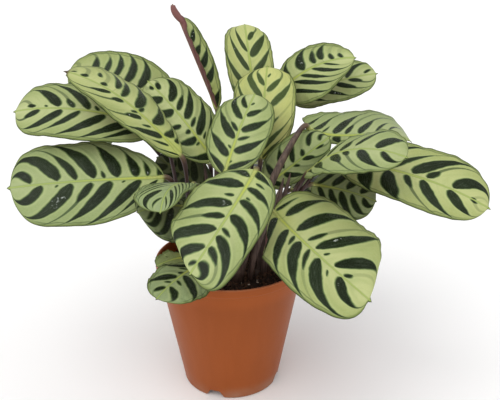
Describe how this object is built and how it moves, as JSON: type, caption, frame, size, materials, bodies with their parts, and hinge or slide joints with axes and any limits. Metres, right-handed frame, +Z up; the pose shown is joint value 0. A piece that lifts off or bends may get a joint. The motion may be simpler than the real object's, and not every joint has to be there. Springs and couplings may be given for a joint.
{
  "type": "potted calathea",
  "caption": "Bushy striped prayer plant with oblong leaves on slim stalks, growing in a plain tapered plastic nursery pot of soil.",
  "frame": {"origin": "centre of the round pad in the middle of the pot's underside, on the surface the pot stands on", "axes": "+Z up along the pot's axis; -Y towards the front of the plant, the side seen in the picture; +X to the viewer's right"},
  "size_m": [0.3431, 0.2745, 0.3011],
  "materials": {
    "pot_plastic": "terracotta-coloured moulded plastic, satin",
    "soil": "dark crumbly potting mix with bark, peat and a few pale grains",
    "leaf": "pale green living leaf with dark green lens-shaped bands, lightly waxy, maroon underneath",
    "stalk": "maroon to green leaf stalk, fleshy, satin"
  },
  "bodies": {
    "root": {"leaf_back_right": "leaf", "leaf_back_right_low": "leaf", "leaf_centre": "leaf", "leaf_curling": "leaf", "leaf_flat_right": "leaf", "leaf_front_left": "leaf", "leaf_front_right": "leaf", "leaf_inner_low": "leaf", "leaf_left_back": "leaf", "leaf_left_drooping": "leaf", "leaf_left_inner": "leaf", "leaf_left_low": "leaf", "leaf_left_mid": "leaf", "leaf_old_small": "leaf", "leaf_over_rim": "leaf", "leaf_rear_high_left": "leaf", "leaf_rear_high_right": "leaf", "leaf_rear_low_left": "leaf", "leaf_rear_low_right": "leaf", "leaf_rear_mid": "leaf", "leaf_rear_side_left": "leaf", "leaf_rear_side_right": "leaf", "leaf_right_high": "leaf", "leaf_right_low": "leaf", "leaf_right_mid": "leaf", "leaf_right_slim": "leaf", "leaf_rolled": "leaf", "leaf_shade_left": "leaf", "leaf_shade_right": "leaf", "leaf_small_left": "leaf", "leaf_top": "leaf", "leaf_young_yellow": "leaf", "pot": "pot_plastic", "shoot_back": "stalk", "shoot_back_left": "stalk", "shoot_back_right": "stalk", "shoot_centre": "stalk", "shoot_front": "stalk", "shoot_left": "stalk", "shoot_left_high": "stalk", "shoot_right": "stalk", "soil": "soil"}
  },
  "joints": []
}
